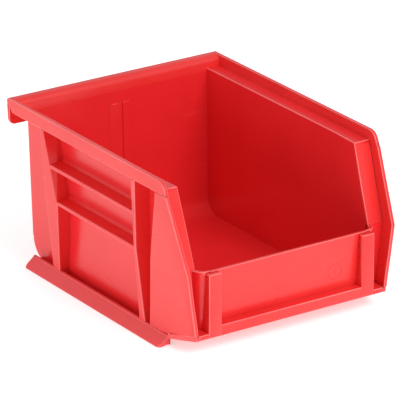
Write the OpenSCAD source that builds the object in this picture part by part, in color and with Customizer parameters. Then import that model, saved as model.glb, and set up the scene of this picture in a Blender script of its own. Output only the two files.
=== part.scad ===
// Stackable hang-and-stack storage bin: an open tub with a scooped front, an outer frame of posts
// and ribs, a stacking ledge inside the rim, a flared stacking skirt and a hooked lip at the back.
// -Y is the open front, +Y the back with the hang lip and +Z up. Left and right are as seen from the
// front, so the right side is at +X. Z = 0 is the surface that the skirt stands on.

/* [Overall size] */
// Length from the front corners to the back of the hang lip
bin_l = 136; // [133:0.5:139]
// Width over the rim
rim_w = 107; // [104:0.5:110]
// Height from the skirt's tips to the rim
bin_h = 73; // [72:0.5:75]

/* [Walls] */
// Thickness of the tub's floor and walls
wall_t = 1.6; // [1.4:0.1:1.7]
// Thickness of the rim and of the front panels that run on from it
rim_t = 1.65; // [1.5:0.05:1.8]

/* [Rim] */
// Distance from the rim's outer face to the inside of the tub
rim_reach = 8.6; // [8.4:0.1:8.8]
// Depth of the stacking ledge below the rim
ledge_drop = 4.5; // [4:0.1:5]
// Thickness of the stacking ledge
ledge_t = 1.3; // [1.2:0.1:1.5]
// Radius of the rim's corner where it turns down the slope
corner_r = 5.5; // [4:0.5:6]

/* [Front opening] */
// Height of the front wall
front_h = 35.8; // [34.8:0.2:36.2]
// How far the slope leans forward per millimetre that it drops
slope_lean = 0.441; // [0.43:0.003:0.45]

/* [Label panel] */
// Distance from the middle to the inner edge of a label rib
label_half_w = 35.3; // [33:0.1:36]
// Distance from the middle to the outer edge of a label rib
label_rib_x = 41.4; // [41:0.1:41.6]
// Height of the shelf that a label stands on, above the front's lower edge
label_shelf_h = 4.8; // [4:0.2:6]

/* [Divider slot] */
// Half the width of the raised pad on the rear wall
slot_pad_half_w = 6.2; // [5:0.1:8]
// Width of the slot in the middle of the pad
slot_w = 0.9; // [0.8:0.1:1.6]
// How far the pad stands proud of the rear wall
slot_depth = 0.8; // [0.6:0.05:1]
// Height of the pad's top
slot_top_z = 62; // [55:0.5:64]

/* [Outer frame] */
// Height of the middle of the lower rib
lower_rib_z = 36.7; // [35:0.1:38]
// Height of the middle of the upper rib
upper_rib_z = 52.2; // [50:0.1:54]
// Thickness of a rib at its outer edge
rib_t = 1.5; // [1.2:0.1:1.8]

/* [Hang lip] */
// How far the lip's leg hangs below the rim
lip_drop = 12; // [10:0.5:14]
// Thickness of the lip's leg at its root
lip_t = 1.9; // [1.7:0.1:2]

/* [Stacking skirt] */
// How far the skirt flares out beyond the rim, on each side
skirt_flare = 1.3; // [1:0.1:1.5]
// Length of the skirt
skirt_l = 104.5; // [100:0.5:105]

/* [Hidden] */
SIDE_NODES = ["side_wall", "tub_corner", "corner_shelf", "label_rib", "rim_rail",
    "stacking_ledge", "slope_ledge", "front_panel", "mid_post", "rear_post", "upper_rib", "lower_rib",
    "stacking_skirt", "plinth"];
$fn = 48;

bin_red = [0.86, 0.12, 0.14];
frame_red = [0.90, 0.30, 0.30];
edge_red = [0.93, 0.22, 0.18];

y_front = -bin_l / 2;
y_back = bin_l / 2;
rim_x = rim_w / 2;
ledge_z = bin_h - ledge_drop;
band_z = ledge_z - ledge_t;
far = 90;

// floor: flat, then ramped up towards the front, with a large radius up to the rear wall
floor_z = 2;
base_z = floor_z - wall_t;
front_base_z = 7.3;
ramp_y = y_front + 31;
ramp_rise = (front_base_z - base_z) / (ramp_y - y_front);
function ramp_z(y) = base_z + max(0, ramp_y - y) * ramp_rise;
rear_r = 8.5;

// tub walls, each leaning outwards to the top
side_draft = 0.0165;
taper_y = y_front + 35;
taper_end_y = y_front + 12.5;
taper = 0.045;
function tub_x(z, y) = rim_x - rim_reach - (ledge_z - z) * side_draft
    - max(0, taper_y - max(y, taper_end_y)) * taper;
rear_lean = 0.034;
function rear_y(z) = y_back - 6.5 - (ledge_z - z) * rear_lean;
rear_arc_z = floor_z + rear_r;
rear_arc_y = rear_y(rear_arc_z) - rear_r;
front_lean = 0.097;
function skin_y(z) = y_front + 2.3 + (front_h - z) * front_lean;
// where the front wall's outer face, carried down, meets a line parallel to the ramp at height z
function skin_meets_ramp(z) =
    (skin_y(0) - front_lean * (z + ramp_rise * ramp_y)) / (1 - front_lean * ramp_rise);
skin_base_y = skin_meets_ramp(base_z);
skin_foot_y = skin_meets_ramp(floor_z);
skin_foot_z = ramp_z(skin_foot_y) + wall_t;
tub_corner_r = 4.2;
corner_out_r = tub_corner_r + wall_t;
function corner_c(z) = [tub_x(z, y_front) - tub_corner_r, skin_y(z) + corner_out_r];

// sloping side of the front opening: its outer edge, and the ledge set back behind it
slope_run = 16.1;
function slope_y(z) = max(y_front, y_front + slope_run - slope_lean * (bin_h - z));
slope_end_z = bin_h - slope_run / slope_lean;
function step_y(z) = y_front + 19.1 - 0.355 * (ledge_z - z);
web_y = step_y(front_h);

// outer frame: outside face, and the front panel's rear edge, soft crease and front edge
frame_foot_z = 4.6;
knee_z = lower_rib_z;
function frame_x(z) = rim_x - lookup(z, [[frame_foot_z, 3.6], [knee_z, 0.85], [band_z, 0]]);
function panel_rear_y(z) = y_front + lookup(z, [[floor_z, 31.6], [knee_z, 26.6], [band_z, 21.7]]);
function crease_y(z) = y_front
    + lookup(z, [[front_base_z, 1.4], [12, 2.2], [24, 4.4], [knee_z, 8], [band_z, 19.2]]);
function crease_in(z) = lookup(z, [[front_base_z, 1.5], [12, 1.1], [24, 0.5], [knee_z, 0.1], [band_z, -0.2]]);
function edge_in(z) = lookup(z, [[front_base_z, 2.3], [12, 2.1], [24, 1.3], [knee_z, 0.7], [band_z, -0.2]]);

// skirt and plinth
skirt_tip_x = rim_x + skirt_flare;
skirt_out_x = rim_x - 3.3;
skirt_in_x = skirt_out_x - 1.4;
skirt_front_y = y_front + 17.5;
skirt_back_y = skirt_front_y + skirt_l;
skirt_end_r = 2;
function plinth_x(y) = skirt_out_x - lookup(y, [[y_front, 2.5], [y_front + 7.4, 1.2], [skirt_front_y, 0]]);
function plinth_in_x(y) = plinth_x(y)
    - lookup(y, [[y_front, 1.5], [y_front + 7.4, 1.8], [skirt_front_y, 1.8]]);
function plinth_z(y) =
    lookup(y, [[y_front, 9.5], [y_front + 6, 8.4], [skirt_front_y, 5.5], [ramp_y, frame_foot_z]]);

// points on an arc about c, from angle a to angle b
function arc(c, r, a, b, n = 10) =
    [for (i = [0:n]) c + r * [cos(a + (b - a) * i / n), sin(a + (b - a) * i / n)]];

// solid between x0 and x1 with an outline given as [y, z]
module along_x(x0, x1, outline) {
    translate([x0, 0, 0]) rotate([90, 0, 90]) linear_extrude(x1 - x0) polygon(outline);
}

// solid between y0 and y1 with an outline given as [x, z]
module along_y(y0, y1, outline) {
    translate([0, y1, 0]) rotate([90, 0, 0]) linear_extrude(y1 - y0) polygon(outline);
}

// solid between z0 and z1 with an outline given as [x, y]
module along_z(z0, z1, outline) {
    translate([0, 0, z0]) linear_extrude(z1 - z0) polygon(outline);
}

// solid through a stack of sections, each [z, outline] with the outline as [x, y] anticlockwise; a strip
// is a bent outline whose first half and reversed second half face each other across its thickness
module loft(sections, strip = false) {
    n = len(sections[0][1]);
    m = len(sections);
    corners = [for (s = sections) for (p = s[1]) [p[0], p[1], s[0]]];
    cap = strip ? [for (i = [0:n / 2 - 2]) [i, i + 1, n - 2 - i, n - 1 - i]] : [[for (i = [0:n - 1]) i]];
    lower = [for (k = [0:m - 2]) for (i = [0:n - 1]) [k * n + i, (k + 1) * n + i, k * n + (i + 1) % n]];
    upper = [for (k = [0:m - 2]) for (i = [0:n - 1])
        [(k + 1) * n + i, (k + 1) * n + (i + 1) % n, k * n + (i + 1) % n]];
    top = [for (f = cap) [for (i = [len(f) - 1:-1:0]) (m - 1) * n + f[i]]];
    polyhedron(corners, concat(cap, top, lower, upper));
}

// mirror image of an outline about its second axis, closing the shape
function both_sides(half) = concat(half, [for (i = [len(half) - 1:-1:0]) [-half[i][0], half[i][1]]]);

// the layer beside the tub's side wall, between two distances outwards from its inside face
module beside_tub(near_d, far_d) {
    turns = [y_front - 1, taper_end_y, taper_y, y_back + 1];
    loft([for (z = [-2, bin_h]) [z, concat([for (y = turns) [tub_x(z, y) + far_d, y]],
        [for (i = [len(turns) - 1:-1:0]) [tub_x(z, turns[i]) + near_d, turns[i]]])]], true);
}

// everything within the tub's outer faces, with its rounded front corners
module within_tub() {
    loft([for (z = [-2, bin_h])
        let (half = concat(arc(corner_c(z), corner_out_r, -90, 0), [for (y = [taper_end_y, taper_y, y_back + 1])
            [tub_x(z, y) + wall_t, y]]))
        [z, both_sides(half)]]);
}

// the space above the skirt's web, where no post or panel may reach
module above_skirt_web() {
    along_y(-far, far, [[skirt_in_x, -1], [far, -1], [far, frame_foot_z], [skirt_in_x, frame_foot_z]]);
}

module floor_pan() {
    wing_y = panel_rear_y(floor_z) - rim_t;
    color(bin_red) intersection() {
        along_x(-far, far, concat(
            [[skin_base_y, ramp_z(skin_base_y)], [ramp_y, base_z]],
            arc([rear_arc_y, rear_arc_z], rear_r + wall_t, -90, 0),
            arc([rear_arc_y, rear_arc_z], rear_r, 0, -90),
            [[ramp_y, floor_z], [skin_foot_y, skin_foot_z]]));
        union() {
            within_tub();
            along_z(-1, 20, both_sides([[skirt_in_x, wing_y], [skirt_in_x, skirt_back_y]]));
        }
    }
}

module rear_wall() {
    color(bin_red) intersection() {
        along_x(-far, far, [
            [rear_y(rear_arc_z), rear_arc_z], [rear_y(rear_arc_z) + wall_t, rear_arc_z],
            [rear_y(band_z) + wall_t, band_z], [rear_y(band_z), band_z]]);
        along_y(0, far, both_sides([
            [tub_x(rear_arc_z, 0) + wall_t, rear_arc_z], [tub_x(band_z, 0) + wall_t, band_z]]));
    }
}

// raised pad down the middle of the rear wall, with a narrow slot that a divider slides into
module divider_slot() {
    flank_w = 3;
    slot_draft = 0.08;
    web = 0.15;
    half = [[slot_pad_half_w, web], [slot_pad_half_w - flank_w, slot_depth], [slot_w / 2, slot_depth],
        [slot_w / 2 - slot_draft, web]];
    face = concat([for (p = half) [-p[0], p[1]]], [for (i = [len(half) - 1:-1:0]) half[i]]);
    color(bin_red) loft([for (z = [rear_arc_z, slot_top_z])
        [z, concat([for (p = face) [p[0], rear_y(z) - p[1]]],
            [for (i = [len(face) - 1:-1:0]) [face[i][0], rear_y(z)]])]], true);
}

module front_wall() {
    color(edge_red) intersection() {
        along_x(-far, far, [
            [skin_foot_y, skin_foot_z], [skin_y(front_h) + 0.2, front_h], [skin_y(front_h) + wall_t, front_h],
            [skin_y(skin_foot_z) + wall_t, skin_foot_z - wall_t * ramp_rise]]);
        along_y(-far, 0, both_sides([
            [tub_x(0, y_front) - tub_corner_r, 0], [tub_x(front_h, y_front) - tub_corner_r, front_h]]));
    }
}

module label_shelf() {
    shelf_z = front_base_z + label_shelf_h;
    color(edge_red) along_x(-label_half_w, label_half_w, [
        [y_front, front_base_z], [skin_base_y, ramp_z(skin_base_y)],
        [skin_y(shelf_z), shelf_z], [y_front, shelf_z]]);
}

// hooked lip: a rounded top plate and a leg that hangs behind the rear wall
lip_inner_y = y_back - 2.1;
lip_split_z = bin_h - 2.9;
lip_lean = 0.06;
function lip_outer_y(z) = y_back - (bin_h - 1 - z) * lip_lean;

lip_back_edge = concat(arc([y_back - 1, bin_h - 1], 1, 90, 0, 5),
    [[lip_outer_y(lip_split_z), lip_split_z], [lip_inner_y, lip_split_z]],
    arc([lip_inner_y - 3.6, lip_split_z + 0.2], 3.2, 0, -75, 6));

module hang_lip_top() {
    color(edge_red) along_x(rim_t - rim_x, rim_x - rim_t, concat(
        [[rear_y(band_z), band_z], [rear_y(ledge_z), ledge_z]],
        arc([y_back - 3.2, bin_h - 3.1], 3.1, 178, 90, 8), lip_back_edge));
}

module hang_lip_leg() {
    foot_z = bin_h - lip_drop;
    color(edge_red) intersection() {
        along_x(-rim_x, rim_x, [
            [lip_inner_y, lip_split_z], [lip_outer_y(lip_split_z), lip_split_z],
            [lip_outer_y(foot_z), foot_z], [lip_outer_y(foot_z) - lip_t + 0.5, foot_z]]);
        along_y(0, far, both_sides(concat(
            arc([rim_x - 3, foot_z + 3], 3, -90, 0, 8), [[rim_x, bin_h]])));
    }
}

module side_wall() {
    color(bin_red) intersection() {
        beside_tub(0, wall_t);
        along_x(0, far, concat(
            [[skin_foot_y, skin_foot_z], [ramp_y, floor_z]], arc([rear_arc_y, rear_arc_z], rear_r, -90, 0),
            [[rear_y(band_z), band_z], [y_front, band_z]]));
        along_x(0, far, [
            [skin_y(-5) + wall_t + tub_corner_r, -5], [skin_y(front_h) + wall_t + tub_corner_r, front_h],
            [step_y(front_h) + wall_t, front_h], [step_y(band_z) + wall_t, band_z], [far, band_z], [far, -5]]);
    }
}

// rounded corner between a side wall and the front wall, with the web that joins it to the front panel
module tub_corner() {
    web_edge = [for (z = [front_base_z - 2, 12, 24, front_h])
        [frame_x(z) - rim_t - lookup(z, [[front_base_z, 1.1], [12, 0.9], [24, 0.45], [front_h, 0.1]]), z]];
    color(bin_red) {
        intersection() {
            loft([for (z = [-2, front_h]) [z, concat(
                arc(corner_c(z), corner_out_r, -90, 0), arc(corner_c(z), tub_corner_r, 0, -90))]], true);
            along_x(0, far, [[skin_foot_y - 2, skin_foot_z + 2 * ramp_rise], [ramp_y, floor_z], [ramp_y, far],
                [skin_foot_y - 2, far]]);
        }
        intersection() {
            along_x(0, far, [
                [web_y, ramp_z(web_y) + wall_t], [web_y + wall_t, ramp_z(web_y + wall_t) + wall_t],
                [web_y + wall_t, front_h], [web_y, front_h]]);
            along_y(-far, 0, concat(web_edge, [[tub_x(front_h, y_front), front_h], [tub_x(0, y_front), 0]]));
        }
    }
}

module corner_shelf() {
    shelf_z = plinth_z(y_front);
    c = corner_c(shelf_z);
    back_y = y_front + 7.4;
    color(edge_red) intersection() {
        along_x(label_rib_x, far, [
            [y_front, front_base_z], [web_y, ramp_z(web_y)], [web_y, shelf_z], [y_front, shelf_z]]);
        along_z(0, far, concat(
            [[0, y_front - 1], [plinth_in_x(y_front), y_front - 1], [plinth_in_x(y_front), y_front],
            [plinth_in_x(back_y), back_y]],
            arc(c, corner_out_r, asin((web_y + 0.3 - c[1]) / corner_out_r), -90), [[0, c[1] - corner_out_r]]));
    }
}

module label_rib() {
    rib_top_z = front_h - 0.6;
    color(edge_red) intersection() {
        along_x(label_half_w, label_rib_x, [
            [y_front, front_base_z], [-50, ramp_z(-50)], [-50, rib_top_z], [y_front, rib_top_z]]);
        loft([for (z = [-2, front_h]) [z, concat(
            [[label_half_w - 1, y_front - 1], [label_rib_x + 3, y_front - 1]],
            arc(corner_c(z), corner_out_r, -45, -90, 5), [[label_half_w - 1, skin_y(z)]])]]);
    }
}

module rim_rail() {
    lean = atan(slope_lean);
    arc_y = slope_y(bin_h) + corner_r * (1 - sin(lean)) / cos(lean);
    color(frame_red) along_x(rim_x - rim_t, rim_x, concat(
        [[slope_y(band_z), band_z]], arc([arc_y, bin_h - corner_r], corner_r, 180 - lean, 90),
        lip_back_edge, [[rear_y(band_z), band_z]]));
}

module stacking_ledge() {
    color(bin_red) intersection() {
        beside_tub(0, 20);
        along_x(0, rim_x - rim_t, [
            [step_y(band_z), band_z], [rear_y(band_z), band_z], [rear_y(ledge_z), ledge_z],
            [step_y(ledge_z), ledge_z]]);
    }
}

module slope_ledge() {
    outer_x = rim_x - rim_t;
    color(edge_red) intersection() {
        beside_tub(0, 20);
        along_x(0, far, [
            [step_y(front_h), front_h], [step_y(front_h) + wall_t, front_h],
            [step_y(band_z) + wall_t, band_z], [step_y(band_z), band_z]]);
        along_y(-far, 0, [[0, front_h], [outer_x - (band_z - front_h) * 0.037, front_h], [outer_x, band_z],
            [0, band_z]]);
    }
}

// outer panel between the slope and the frame, with a web at its rear edge
module front_panel() {
    color(frame_red) difference() {
        intersection() {
            loft([for (z = [floor_z, 12, 24, slope_end_z, band_z])
                let (rear = panel_rear_y(z), crease = crease_y(z), edge = slope_y(z),
                    tub = tub_x(z, rear) + wall_t, outer = frame_x(z),
                    crease_x = outer - crease_in(z), edge_x = outer - edge_in(z))
                [z, [[tub, rear - rim_t], [outer - rim_t, rear - rim_t], [crease_x - rim_t, crease],
                    [edge_x - rim_t, edge], [edge_x, edge], [crease_x, crease],
                    [outer, rear], [tub, rear]]]], true);
            along_x(0, far, [
                [y_front - 1, plinth_z(y_front)], [y_front, plinth_z(y_front)],
                [y_front + 6, plinth_z(y_front + 6)], [skirt_front_y, plinth_z(skirt_front_y)],
                [panel_rear_y(floor_z) - rim_t - 2, floor_z], [y_back, floor_z],
                [y_back, far], [y_front - 1, far]]);
        }
        above_skirt_web();
    }
}

// section of the middle post at height z, from its front edge to its back edge at the outer face;
// its faces run back to the tub at fixed slopes, and grow reaches past the tub and the outer face
mid_post_front_slope = 0.1;
mid_post_back_slope = -0.28;
function mid_post_section(z, grow = 0) =
    let (tub = tub_x(z, 0) + wall_t - grow, outer = frame_x(z) + grow, out_x = frame_x(z),
        front = y_front + lookup(z, [[floor_z, 34.6], [knee_z, 37.3], [band_z, 37.1]]),
        back = y_front + lookup(z, [[floor_z, 38.8], [knee_z, 38.8], [band_z, 39.6]]))
    [z, [[tub, front + (tub - out_x) * mid_post_front_slope],
        [outer, front + (outer - out_x) * mid_post_front_slope],
        [outer, back + (outer - out_x) * mid_post_back_slope],
        [tub, back + (tub - out_x) * mid_post_back_slope]]];

module mid_post() {
    color(frame_red) difference() {
        loft([for (z = [floor_z, knee_z, band_z]) mid_post_section(z)]);
        above_skirt_web();
    }
}

// section of the rear post at height z, whose front face is square to the tub
rear_post_back_slope = -0.45;
function rear_post_section(z, grow = 0) =
    let (tub = tub_x(z, 0) + wall_t - grow, outer = frame_x(z) + grow, out_x = frame_x(z),
        front = y_back - lookup(z, [[floor_z, 35.2], [knee_z, 38.1], [band_z, 29.1]]),
        back = y_back - lookup(z, [[floor_z, 30.6], [knee_z, 28.9], [band_z, 26.7]]))
    [z, [[tub, front], [outer, front],
        [outer, back + (outer - out_x) * rear_post_back_slope],
        [tub, back + (tub - out_x) * rear_post_back_slope]]];

module rear_post() {
    color(frame_red) difference() {
        loft([for (z = [floor_z, knee_z, band_z]) rear_post_section(z)]);
        above_skirt_web();
    }
}

// horizontal rib between the two posts, thicker at its root
module rib(z) {
    half = rib_t / 2;
    fillet_z = z + half + 1.6;
    foot_z = z - half - 1.2;
    difference() {
        along_y(y_front + 38, y_back - 33, [
            [frame_x(z - half), z - half], [frame_x(z + half), z + half],
            [tub_x(z, 0) + wall_t + 4.6, z + half + 0.3], [tub_x(z, 0) + wall_t + 1, z + half + 0.6],
            [tub_x(fillet_z, 0) + wall_t, fillet_z], [tub_x(foot_z, 0) + wall_t, foot_z],
            [tub_x(z, 0) + wall_t + 1, z - half - 0.5]]);
        loft([for (h = [floor_z, knee_z, band_z]) rear_post_section(h, 3)]);
        loft([for (h = [floor_z, knee_z, band_z]) mid_post_section(h, 3)]);
    }
}

module upper_rib() {
    color(bin_red) rib(upper_rib_z);
}

module lower_rib() {
    color(bin_red) rib(lower_rib_z);
}

module stacking_skirt() {
    color(frame_red) intersection() {
        along_y(skirt_front_y, skirt_back_y, concat(
            [[skirt_tip_x - 1.1, 0], [skirt_tip_x, 0], [skirt_tip_x, 0.3], [skirt_out_x, frame_foot_z - 0.7]],
            arc([skirt_out_x - 0.7, frame_foot_z - 0.7], 0.7, 0, 90, 4),
            [[skirt_in_x, frame_foot_z], [skirt_in_x, base_z], [skirt_out_x + 0.6, base_z + 0.2]]));
        along_z(-1, far, concat(
            [[0, skirt_front_y]],
            arc([skirt_tip_x - skirt_end_r, skirt_front_y + skirt_end_r], skirt_end_r, -90, 0, 6),
            arc([skirt_tip_x - skirt_end_r, skirt_back_y - skirt_end_r], skirt_end_r, 0, 90, 6),
            [[0, skirt_back_y]]));
    }
}

module plinth() {
    front_y = y_front + 7.4;
    color(frame_red) intersection() {
        along_x(0, far, [
            [y_front, front_base_z], [skirt_front_y, ramp_z(skirt_front_y)],
            [skirt_front_y, plinth_z(skirt_front_y)],
            [y_front + 6, plinth_z(y_front + 6)], [y_front, plinth_z(y_front)]]);
        along_z(0, far, [
            [plinth_x(y_front) - 1.4, y_front], [plinth_x(y_front), y_front], [plinth_x(front_y), front_y],
            [plinth_x(skirt_front_y), skirt_front_y], [plinth_x(skirt_front_y) - 1.4, skirt_front_y],
            [plinth_x(front_y) - 1.4, front_y]]);
    }
}

floor_pan();
rear_wall();
divider_slot();
front_wall();
label_shelf();
hang_lip_top();
hang_lip_leg();
side_wall();  // right_side_wall
tub_corner();  // right_tub_corner
corner_shelf();  // right_corner_shelf
label_rib();  // right_label_rib
rim_rail();  // right_rim_rail
stacking_ledge();  // right_stacking_ledge
slope_ledge();  // right_slope_ledge
front_panel();  // right_front_panel
mid_post();  // right_mid_post
rear_post();  // right_rear_post
upper_rib();  // right_upper_rib
lower_rib();  // right_lower_rib
stacking_skirt();  // right_stacking_skirt
plinth();  // right_plinth
mirror([1, 0, 0]) side_wall();  // left_side_wall
mirror([1, 0, 0]) tub_corner();  // left_tub_corner
mirror([1, 0, 0]) corner_shelf();  // left_corner_shelf
mirror([1, 0, 0]) label_rib();  // left_label_rib
mirror([1, 0, 0]) rim_rail();  // left_rim_rail
mirror([1, 0, 0]) stacking_ledge();  // left_stacking_ledge
mirror([1, 0, 0]) slope_ledge();  // left_slope_ledge
mirror([1, 0, 0]) front_panel();  // left_front_panel
mirror([1, 0, 0]) mid_post();  // left_mid_post
mirror([1, 0, 0]) rear_post();  // left_rear_post
mirror([1, 0, 0]) upper_rib();  // left_upper_rib
mirror([1, 0, 0]) lower_rib();  // left_lower_rib
mirror([1, 0, 0]) stacking_skirt();  // left_stacking_skirt
mirror([1, 0, 0]) plinth();  // left_plinth
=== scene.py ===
import math

import bmesh
import bpy
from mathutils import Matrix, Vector
from mathutils.bvhtree import BVHTree


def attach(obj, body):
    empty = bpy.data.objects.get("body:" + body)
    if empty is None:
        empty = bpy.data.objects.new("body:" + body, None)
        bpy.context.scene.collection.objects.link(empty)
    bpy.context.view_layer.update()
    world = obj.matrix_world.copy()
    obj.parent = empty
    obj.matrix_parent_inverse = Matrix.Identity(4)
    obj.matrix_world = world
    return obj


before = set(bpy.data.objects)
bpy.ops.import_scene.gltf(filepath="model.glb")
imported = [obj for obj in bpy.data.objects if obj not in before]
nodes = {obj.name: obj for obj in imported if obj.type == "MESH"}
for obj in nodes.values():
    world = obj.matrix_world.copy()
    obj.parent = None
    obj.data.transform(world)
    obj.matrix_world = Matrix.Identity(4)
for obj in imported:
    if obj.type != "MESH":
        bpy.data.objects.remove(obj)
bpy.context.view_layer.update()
MM = 0.001

# ---------------------------------------------------------------- camera, stage and light

CAMERA_AZIMUTH = -33.96
CAMERA_ELEVATION = 21.65
CAMERA_DISTANCE = 1753.3 * MM
CAMERA_TARGET = Vector((-0.2, 0.0, 36.7)) * MM
SENSOR_WIDTH = 36.0
LENS = 373.8
CLIP_NEAR = 0.05
CLIP_FAR = 50
FLOOR_HALF = 4.0
FLOOR_COLOUR = (0.9, 0.9, 0.9, 1)
FLOOR_ROUGHNESS = 0.9
FLOOR_GLOW = 0.5
WHITE = (1, 1, 1, 1)
LIGHT_DISTANCE = 1.6


def direction(azimuth, elevation):
    """Unit vector from the object towards something seen at this azimuth and elevation."""
    a, e = math.radians(azimuth), math.radians(elevation)
    return Vector((math.sin(a) * math.cos(e), -math.cos(a) * math.cos(e), math.sin(e)))


def aim(obj, place, target):
    obj.location = place
    obj.rotation_euler = (target - place).to_track_quat("-Z", "Y").to_euler()


def add_camera():
    data = bpy.data.cameras.new("camera")
    data.sensor_width = SENSOR_WIDTH
    data.lens = LENS
    data.clip_start = CLIP_NEAR
    data.clip_end = CLIP_FAR
    cam = bpy.data.objects.new("camera", data)
    bpy.context.scene.collection.objects.link(cam)
    place = CAMERA_TARGET + direction(CAMERA_AZIMUTH, CAMERA_ELEVATION) * CAMERA_DISTANCE
    aim(cam, place, CAMERA_TARGET)
    bpy.context.scene.camera = cam


def add_light(name, azimuth, elevation, size, power):
    """A soft round lamp, aimed at the bin from this azimuth and elevation."""
    data = bpy.data.lights.new(name, "AREA")
    data.shape = "DISK"
    data.size = size
    data.energy = power
    lamp = bpy.data.objects.new(name, data)
    bpy.context.scene.collection.objects.link(lamp)
    aim(lamp, CAMERA_TARGET + direction(azimuth, elevation) * LIGHT_DISTANCE, CAMERA_TARGET)


def add_stage():
    """A plain white floor that the studio light takes close to pure white."""
    data = bpy.data.meshes.new("floor")
    h = FLOOR_HALF
    data.from_pydata([(-h, -h, 0), (h, -h, 0), (h, h, 0), (-h, h, 0)], [], [(0, 1, 2, 3)])
    floor = bpy.data.objects.new("floor", data)
    bpy.context.scene.collection.objects.link(floor)
    mat = bpy.data.materials.new("floor_white")
    mat.use_nodes = True
    shader = mat.node_tree.nodes["Principled BSDF"]
    shader.inputs["Base Color"].default_value = FLOOR_COLOUR
    shader.inputs["Roughness"].default_value = FLOOR_ROUGHNESS
    shader.inputs["Emission Color"].default_value = WHITE
    shader.inputs["Emission Strength"].default_value = FLOOR_GLOW
    data.materials.append(mat)


def light_world(strength):
    world = bpy.data.worlds.new("world")
    world.use_nodes = True
    background = world.node_tree.nodes["Background"]
    background.inputs["Color"].default_value = WHITE
    background.inputs["Strength"].default_value = strength
    bpy.context.scene.world = world


# ---------------------------------------------------------------- moulded plastic


class Graph:
    """Small helper for building a material's nodes."""

    def __init__(self, name):
        self.mat = bpy.data.materials.new(name)
        self.mat.use_nodes = True
        self.tree = self.mat.node_tree
        self.shader = self.tree.nodes["Principled BSDF"]

    def node(self, kind, **settings):
        made = self.tree.nodes.new(kind)
        for key, value in settings.items():
            setattr(made, key, value)
        return made

    def link(self, a, b):
        self.tree.links.new(a, b)

    def noise(self, coords, scale, detail=3, stretch=(1, 1, 1)):
        mapping = self.node("ShaderNodeMapping")
        mapping.inputs["Scale"].default_value = stretch
        self.link(coords, mapping.inputs["Vector"])
        noise = self.node("ShaderNodeTexNoise")
        noise.inputs["Scale"].default_value = scale
        noise.inputs["Detail"].default_value = detail
        self.link(mapping.outputs["Vector"], noise.inputs["Vector"])
        return noise.outputs["Fac"]

    def ramp(self, source, low, high, a, b):
        """source mapped from low..high to a..b."""
        made = self.node("ShaderNodeMapRange")
        for key, value in zip(("From Min", "From Max", "To Min", "To Max"), (low, high, a, b)):
            made.inputs[key].default_value = value
        self.link(source, made.inputs["Value"])
        return made.outputs["Result"]

    def mix(self, factor, a, b):
        made = self.node("ShaderNodeMix", data_type="RGBA")
        self.link(factor, made.inputs["Factor"])
        for socket, value in ((made.inputs["A"], a), (made.inputs["B"], b)):
            if isinstance(value, tuple):
                socket.default_value = value
            else:
                self.link(value, socket)
        return made.outputs["Result"]


IOR = 1.49
SPECULAR = 0.5
GRAIN_DEPTH = 0.04 * MM
SCUFF_COLOUR = (0.85, 0.16, 0.16, 1)
SCUFF_STRENGTH = 0.1
SMOOTHER = 0.03
ROUGHER = 0.04


def moulded_plastic(name, colour, pale, roughness, grain):
    """Satin polypropylene: slight colour clouding, a fine moulded grain and faint scuffs."""
    g = Graph(name)
    coords = g.node("ShaderNodeTexCoord").outputs["Object"]
    cloud = g.noise(coords, 38, 1)
    speck = g.noise(coords, 900, 2)
    flow = g.noise(coords, 60, 1, (1, 0.25, 1.6))
    scuff = g.noise(coords, 320, 5, (0.12, 1, 1))
    clouded = g.mix(g.ramp(cloud, 0.3, 0.7, 0, 1), colour, pale)
    scuffed = g.mix(g.ramp(scuff, 0.66, 0.8, 0, SCUFF_STRENGTH), clouded, SCUFF_COLOUR)
    g.link(scuffed, g.shader.inputs["Base Color"])
    uneven = g.ramp(flow, 0.3, 0.7, roughness - SMOOTHER, roughness + ROUGHER)
    g.link(uneven, g.shader.inputs["Roughness"])
    bump = g.node("ShaderNodeBump")
    bump.inputs["Strength"].default_value = grain
    bump.inputs["Distance"].default_value = GRAIN_DEPTH
    g.link(speck, bump.inputs["Height"])
    g.link(bump.outputs["Normal"], g.shader.inputs["Normal"])
    g.shader.inputs["IOR"].default_value = IOR
    g.shader.inputs["Specular IOR Level"].default_value = SPECULAR
    return g.mat


TUB = moulded_plastic("tub_red", (0.77, 0.020, 0.024, 1), (0.81, 0.024, 0.028, 1), 0.24, 0.08)
FRAME = moulded_plastic("frame_red", (0.78, 0.025, 0.024, 1), (0.82, 0.032, 0.030, 1), 0.28, 0.1)
# The skirt's paler, pinker red is painted sheen: a lit copy of the red that stands in for the light its
# sloping faces catch.
SKIRT_PAINTED_SHEEN = moulded_plastic("skirt_red_painted_sheen", (0.80, 0.062, 0.066, 1), (0.84, 0.072, 0.076, 1), 0.30, 0.1)
# The paler red for rounded outer edges is partly wear along the edges and partly painted highlight.
EDGE = moulded_plastic("edge_red", (0.88, 0.12, 0.12, 1), (0.92, 0.18, 0.18, 1), 0.30, 0.08)
SKIRT_NODES = ("stacking_skirt", "plinth")
TUB_NODES = ("floor_pan", "rear_wall", "divider_slot", "side_wall", "tub_corner", "stacking_ledge")

# ---------------------------------------------------------------- rounded edges

EDGE_R = 0.38 * MM
FINE_EDGE_R = 0.2 * MM
EDGE_SEGMENTS = 3
FINE_NODES = ("stacking_skirt", "divider_slot", "plinth")
PLAIN_EDGED = "divider_slot"
SHARP = math.radians(24)
TEST_PLACES = (0.15, 0.5, 0.85)
TOUCH = 0.03 * MM
GRID = 1e-6


def base_name(name):
    """A node's name without its side, so that left and right share a rule."""
    return name.removeprefix("left_").removeprefix("right_")


def corner_key(co):
    return tuple(round(c / GRID) for c in co)


def edge_key(mesh, edge):
    a, b = (corner_key(mesh.vertices[v].co) for v in edge.vertices)
    return (a, b) if a < b else (b, a)


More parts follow.
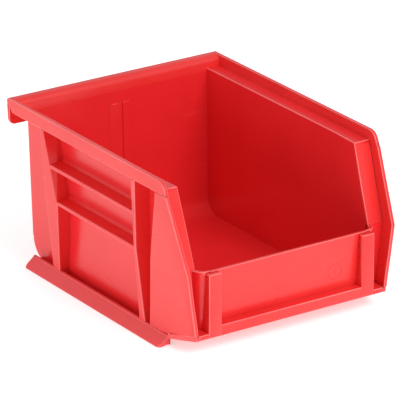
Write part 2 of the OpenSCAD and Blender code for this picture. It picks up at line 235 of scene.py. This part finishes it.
def sharp_edges(mesh):
    """The edges where two faces meet at more than a soft angle, and whether each one sticks out."""
    faces = {}
    for poly in mesh.polygons:
        for pair in poly.edge_keys:
            a, b = (corner_key(mesh.vertices[v].co) for v in pair)
            faces.setdefault((a, b) if a < b else (b, a), []).append(poly)
    pairs = {key: ps for key, ps in faces.items() if len(ps) == 2}
    return {key: (q.center - p.center).dot(p.normal) < 0
            for key, (p, q) in pairs.items() if p.normal.angle(q.normal, 0) > SHARP}


def is_free(a, b, trees):
    """Whether no other node touches the edge from a to b, so that it shows as an edge of the moulding."""
    for t in TEST_PLACES:
        point = a.lerp(b, t)
        for tree in trees:
            if tree.find_nearest(point, TOUCH)[0] is not None:
                return False
    return True


def round_edges(name, obj, trees):
    """Rounds a node's free outer edges with modifiers, and keeps its seams with other nodes square."""
    mesh = obj.data
    for poly in mesh.polygons:
        poly.use_smooth = True
    for stale in ("custom_normal", "sharp_face"):
        if stale in mesh.attributes:
            mesh.attributes.remove(mesh.attributes[stale])
    sharp = sharp_edges(mesh)
    others = [tree for other, tree in trees.items() if other != name]
    free = {}
    weight = mesh.attributes.get("bevel_weight_edge")
    if weight is None:
        weight = mesh.attributes.new("bevel_weight_edge", "FLOAT", "EDGE")
    for edge in mesh.edges:
        key = edge_key(mesh, edge)
        if key not in sharp:
            edge.use_edge_sharp = False
            continue
        if key not in free:
            a, b = (mesh.vertices[v].co for v in edge.vertices)
            free[key] = sharp[key] and is_free(a, b, others)
        weight.data[edge.index].value = 1.0 if free[key] else 0.0
        edge.use_edge_sharp = not free[key]
    weld = obj.modifiers.new("weld", "WELD")
    weld.merge_threshold = GRID
    bevel = obj.modifiers.new("edges", "BEVEL")
    bevel.limit_method = "WEIGHT"
    bevel.width = FINE_EDGE_R if base_name(name) in FINE_NODES else EDGE_R
    bevel.segments = EDGE_SEGMENTS
    # Rounded strips on outer edges take the paler second slot: edge wear plus painted highlight; the
    # divider slot keeps its own red.
    if base_name(name) != PLAIN_EDGED:
        bevel.material = 1
    bevel.use_clamp_overlap = False
    bevel.loop_slide = False
    shade = obj.modifiers.new("shade", "WEIGHTED_NORMAL")
    shade.keep_sharp = True


def plastic_of(base):
    """The finish of a node: the smooth tub, the skirt that it stands on in a paler red that is painted
    sheen, or the outer frame.
    """
    if base in SKIRT_NODES:
        return SKIRT_PAINTED_SHEEN
    return TUB if base in TUB_NODES else FRAME


def tree_of(obj):
    mesh = obj.data
    corners = [v.co for v in mesh.vertices]
    return BVHTree.FromPolygons(corners, [list(p.vertices) for p in mesh.polygons])


# ---------------------------------------------------------------- mould mark on the front wall

MARK_X = 24.0 * MM
MARK_Z = 20.7 * MM
MARK_R = 3.4 * MM
MARK_T = 0.16 * MM
RING_HEIGHT = 0.8
POINTER_HEIGHT = 0.6
POINTER = [(-0.16, -1.5), (0.16, -1.5), (0.16, 0.6), (0.55, 0.6), (0, 1.6), (-0.55, 0.6), (-0.16, 0.6)]
RING_STEPS = 48
TUBE_STEPS = 8


def face_point(tree, x, z):
    """Where a level line from the front meets a node's surface, and the surface's normal there."""
    hit, normal, _, _ = tree.ray_cast(Vector((x, -1, z)), Vector((0, 1, 0)))
    return hit, normal


def add_mould_mark(tree):
    """The faint ring with a pointer that a tool's date insert leaves, with no figures in it."""
    centre, normal = face_point(tree, MARK_X, MARK_Z)
    across = Vector((1, 0, 0))
    up = normal.cross(across).normalized()
    if up.z < 0:
        up = -up
    bm = bmesh.new()

    def ring_point(i, j):
        a, b = math.tau * i / RING_STEPS, math.tau * j / TUBE_STEPS
        outwards = across * math.cos(a) + up * math.sin(a)
        lift = normal * (MARK_T * math.sin(b) * RING_HEIGHT)
        return centre + outwards * (MARK_R + MARK_T * math.cos(b)) + lift

    rings = [[bm.verts.new(ring_point(i, j)) for j in range(TUBE_STEPS)] for i in range(RING_STEPS)]
    for i in range(RING_STEPS):
        a, b = rings[i], rings[(i + 1) % RING_STEPS]
        for j in range(TUBE_STEPS):
            k = (j + 1) % TUBE_STEPS
            bm.faces.new((a[j], b[j], b[k], a[k]))

    flat = [centre + (across * x + up * y) * MM for x, y in POINTER]
    low = [bm.verts.new(p - normal * MARK_T) for p in flat]
    high = [bm.verts.new(p + normal * MARK_T * POINTER_HEIGHT) for p in flat]
    bm.faces.new(high)
    bm.faces.new(list(reversed(low)))
    for i in range(len(POINTER)):
        k = (i + 1) % len(POINTER)
        bm.faces.new((low[i], low[k], high[k], high[i]))
    bmesh.ops.recalc_face_normals(bm, faces=bm.faces)
    mesh = bpy.data.meshes.new("mould_mark")
    bm.to_mesh(mesh)
    bm.free()
    for poly in mesh.polygons[:RING_STEPS * TUBE_STEPS]:
        poly.use_smooth = True
    mark = bpy.data.objects.new("mould_mark", mesh)
    bpy.context.scene.collection.objects.link(mark)
    mesh.materials.append(FRAME)
    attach(mark, "root")


# ---------------------------------------------------------------- building it

trees = {name: tree_of(obj) for name, obj in nodes.items()}
for name, obj in nodes.items():
    round_edges(name, obj, trees)
    obj.data.materials.clear()
    obj.data.materials.append(plastic_of(base_name(name)))
    obj.data.materials.append(EDGE)
add_mould_mark(trees["front_wall"])

add_camera()
add_stage()
add_light("key", azimuth=8, elevation=42, size=0.8, power=13)
add_light("side", azimuth=-95, elevation=8, size=0.7, power=5.5)
light_world(0.6)
bpy.context.scene.view_settings.view_transform = "Standard"
